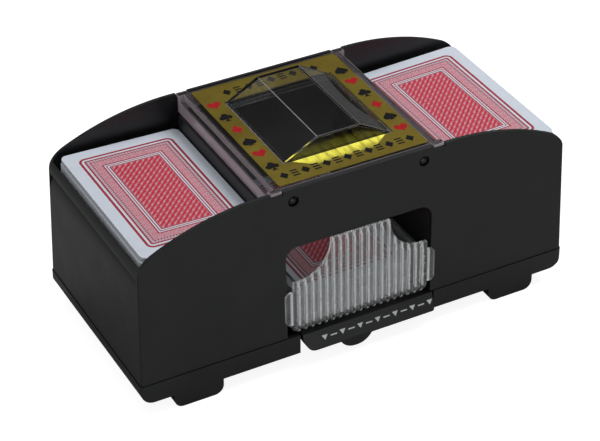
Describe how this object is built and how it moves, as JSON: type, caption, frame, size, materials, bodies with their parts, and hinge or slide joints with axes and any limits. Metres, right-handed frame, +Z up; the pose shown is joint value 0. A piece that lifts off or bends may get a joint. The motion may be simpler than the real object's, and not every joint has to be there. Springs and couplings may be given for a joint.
{
  "type": "automatic card shuffler",
  "caption": "Battery powered card shuffler: card wells at both ends feed rollers into a middle chamber over a slide-out tray, with a clear lift-off cover and a press bar in front.",
  "frame": {"origin": "middle of the object's box, on the surface that its feet stand on", "axes": "+X along the length to the right of a person facing the tray, -Y out of the front where the tray and press bar are, +Z up"},
  "size_m": [0.2174, 0.1026, 0.1045],
  "materials": {
    "black_shell": "satin black moulded polystyrene",
    "inner_frame": "matt black moulding",
    "clear_plastic": "clear moulded polystyrene",
    "gold_label": "printed gold film",
    "cards": "coated playing card stock",
    "steel": "plated steel",
    "motor_steel": "plated can",
    "contact_brass": "nickelled brass strip",
    "rubber": "moulded rubber",
    "gear_plastic": "natural acetal",
    "battery_jacket": "printed metal jacket",
    "red_insulation": "PVC insulation",
    "black_insulation": "PVC insulation"
  },
  "bodies": {
    "housing": {"upper_housing": "black_shell", "base_pan": "black_shell", "gear_plate": "inner_frame", "motor_can": "motor_steel", "motor_end_cap": "inner_frame", "switch_block": "inner_frame", "switch_leaf": "contact_brass", "lever_pin": "steel", "lever_spring": "steel", "red_wire": "red_insulation", "black_wire": "black_insulation", "left_card_bed": "inner_frame", "left_gate_plate": "inner_frame", "left_battery_inner": "battery_jacket", "left_battery_outer": "battery_jacket", "left_front_contact": "contact_brass", "left_rear_contact": "contact_brass", "left_front_screw": "steel", "left_front_cover_stud": "inner_frame", "left_rear_screw": "steel", "left_rear_cover_stud": "inner_frame", "right_card_bed": "inner_frame", "right_gate_plate": "inner_frame", "right_battery_inner": "battery_jacket", "right_battery_outer": "battery_jacket", "right_front_contact": "contact_brass", "right_rear_contact": "contact_brass", "right_front_screw": "steel", "right_front_cover_stud": "inner_frame", "right_rear_screw": "steel", "right_rear_cover_stud": "inner_frame"},
    "lever": {"press_lever": "black_shell"},
    "tray": {"card_tray": "clear_plastic", "tray_cards": "cards"},
    "cover": {"top_cover": "clear_plastic", "cover_label": "gold_label"},
    "compound": {"compound_gear": "gear_plastic"},
    "motor_rotor": {"motor_pinion": "contact_brass"},
    "left_door": {"left_battery_door": "black_shell"},
    "left_deck_stack": {"left_deck": "cards"},
    "left_feed_roller": {"left_feed_shaft": "steel", "left_feed_tyre_front": "rubber", "left_feed_tyre_rear": "rubber", "left_feed_gear": "gear_plastic"},
    "left_eject_roller": {"left_eject_shaft": "steel", "left_eject_tyre": "rubber", "left_eject_gear": "gear_plastic"},
    "left_idler": {"left_idler_gear": "gear_plastic"},
    "left_transfer": {"left_transfer_gear": "gear_plastic"},
    "right_door": {"right_battery_door": "black_shell"},
    "right_deck_stack": {"right_deck": "cards"},
    "right_feed_roller": {"right_feed_shaft": "steel", "right_feed_tyre_front": "rubber", "right_feed_tyre_rear": "rubber", "right_feed_gear": "gear_plastic"},
    "right_eject_roller": {"right_eject_shaft": "steel", "right_eject_tyre": "rubber", "right_eject_gear": "gear_plastic"},
    "right_idler": {"right_idler_gear": "gear_plastic"},
    "right_transfer": {"right_transfer_gear": "gear_plastic"}
  },
  "joints": [
    {"name": "lever_press", "type": "hinge", "parent": "housing", "child": "lever", "pos_m": [0, -0.02658, 0.0126], "axis": [1, 0, 0], "range_deg": [0, 4.5], "stiffness_Nm_per_rad": 0.5, "springref_deg": -3.44, "deforming": ["lever_spring"]},
    {"name": "tray_slide", "type": "slide", "parent": "housing", "child": "tray", "axis": [0, -1, 0], "range_m": [0, 0.095]},
    {"name": "cover_lift", "type": "slide", "parent": "housing", "child": "cover", "axis": [0, 0, 1], "range_m": [0, 0.06]},
    {"name": "left_deck_lift", "type": "slide", "parent": "housing", "child": "left_deck_stack", "axis": [0, 0, 1], "range_m": [0, 0.05]},
    {"name": "left_door_release", "type": "slide", "parent": "housing", "child": "left_door", "axis": [0, 0, -1], "range_m": [0, 0.03]},
    {"name": "right_deck_lift", "type": "slide", "parent": "housing", "child": "right_deck_stack", "axis": [0, 0, 1], "range_m": [0, 0.05]},
    {"name": "right_door_release", "type": "slide", "parent": "housing", "child": "right_door", "axis": [0, 0, -1], "range_m": [0, 0.03]},
    {"name": "right_feed_spin", "type": "hinge", "parent": "housing", "child": "right_feed_roller", "pos_m": [0.06, 0.00143, 0.0579], "axis": [0, 1, 0], "continuous": true},
    {"name": "right_eject_spin", "type": "hinge", "parent": "housing", "child": "right_eject_roller", "pos_m": [0.0435, 0.00143, 0.0587], "axis": [0, 1, 0], "continuous": true},
    {"name": "right_idler_spin", "type": "hinge", "parent": "housing", "child": "right_idler", "pos_m": [0.0495, 0.00143, 0.0472], "axis": [0, 1, 0], "continuous": true},
    {"name": "right_transfer_spin", "type": "hinge", "parent": "housing", "child": "right_transfer", "pos_m": [0.021, 0.00143, 0.0418], "axis": [0, 1, 0], "continuous": true},
    {"name": "left_feed_spin", "type": "hinge", "parent": "housing", "child": "left_feed_roller", "pos_m": [-0.06, 0.00143, 0.0579], "axis": [0, 1, 0], "continuous": true},
    {"name": "left_eject_spin", "type": "hinge", "parent": "housing", "child": "left_eject_roller", "pos_m": [-0.0435, 0.00143, 0.0587], "axis": [0, 1, 0], "continuous": true},
    {"name": "left_idler_spin", "type": "hinge", "parent": "housing", "child": "left_idler", "pos_m": [-0.0495, 0.00143, 0.0472], "axis": [0, 1, 0], "continuous": true},
    {"name": "left_transfer_spin", "type": "hinge", "parent": "housing", "child": "left_transfer", "pos_m": [-0.021, 0.00143, 0.0418], "axis": [0, 1, 0], "continuous": true},
    {"name": "compound_spin", "type": "hinge", "parent": "housing", "child": "compound", "pos_m": [0.05946, 0.00143, 0.03884], "axis": [0, 1, 0], "continuous": true},
    {"name": "motor_spin", "type": "hinge", "parent": "housing", "child": "motor_rotor", "pos_m": [0.07825, 0.00143, 0.032], "axis": [0, 1, 0], "continuous": true}
  ],
  "couplings": [
    {"joint": "right_idler_spin", "follows": "right_feed_spin", "ratio": -0.875},
    {"joint": "right_eject_spin", "follows": "right_feed_spin", "ratio": 1.4},
    {"joint": "compound_spin", "follows": "right_feed_spin", "ratio": 1.4},
    {"joint": "motor_spin", "follows": "right_feed_spin", "ratio": -5.6},
    {"joint": "right_transfer_spin", "follows": "right_feed_spin", "ratio": 0.33333},
    {"joint": "left_transfer_spin", "follows": "right_feed_spin", "ratio": -0.33333},
    {"joint": "left_idler_spin", "follows": "right_feed_spin", "ratio": 0.875},
    {"joint": "left_feed_spin", "follows": "right_feed_spin", "ratio": -1},
    {"joint": "left_eject_spin", "follows": "right_feed_spin", "ratio": -1.4}
  ]
}
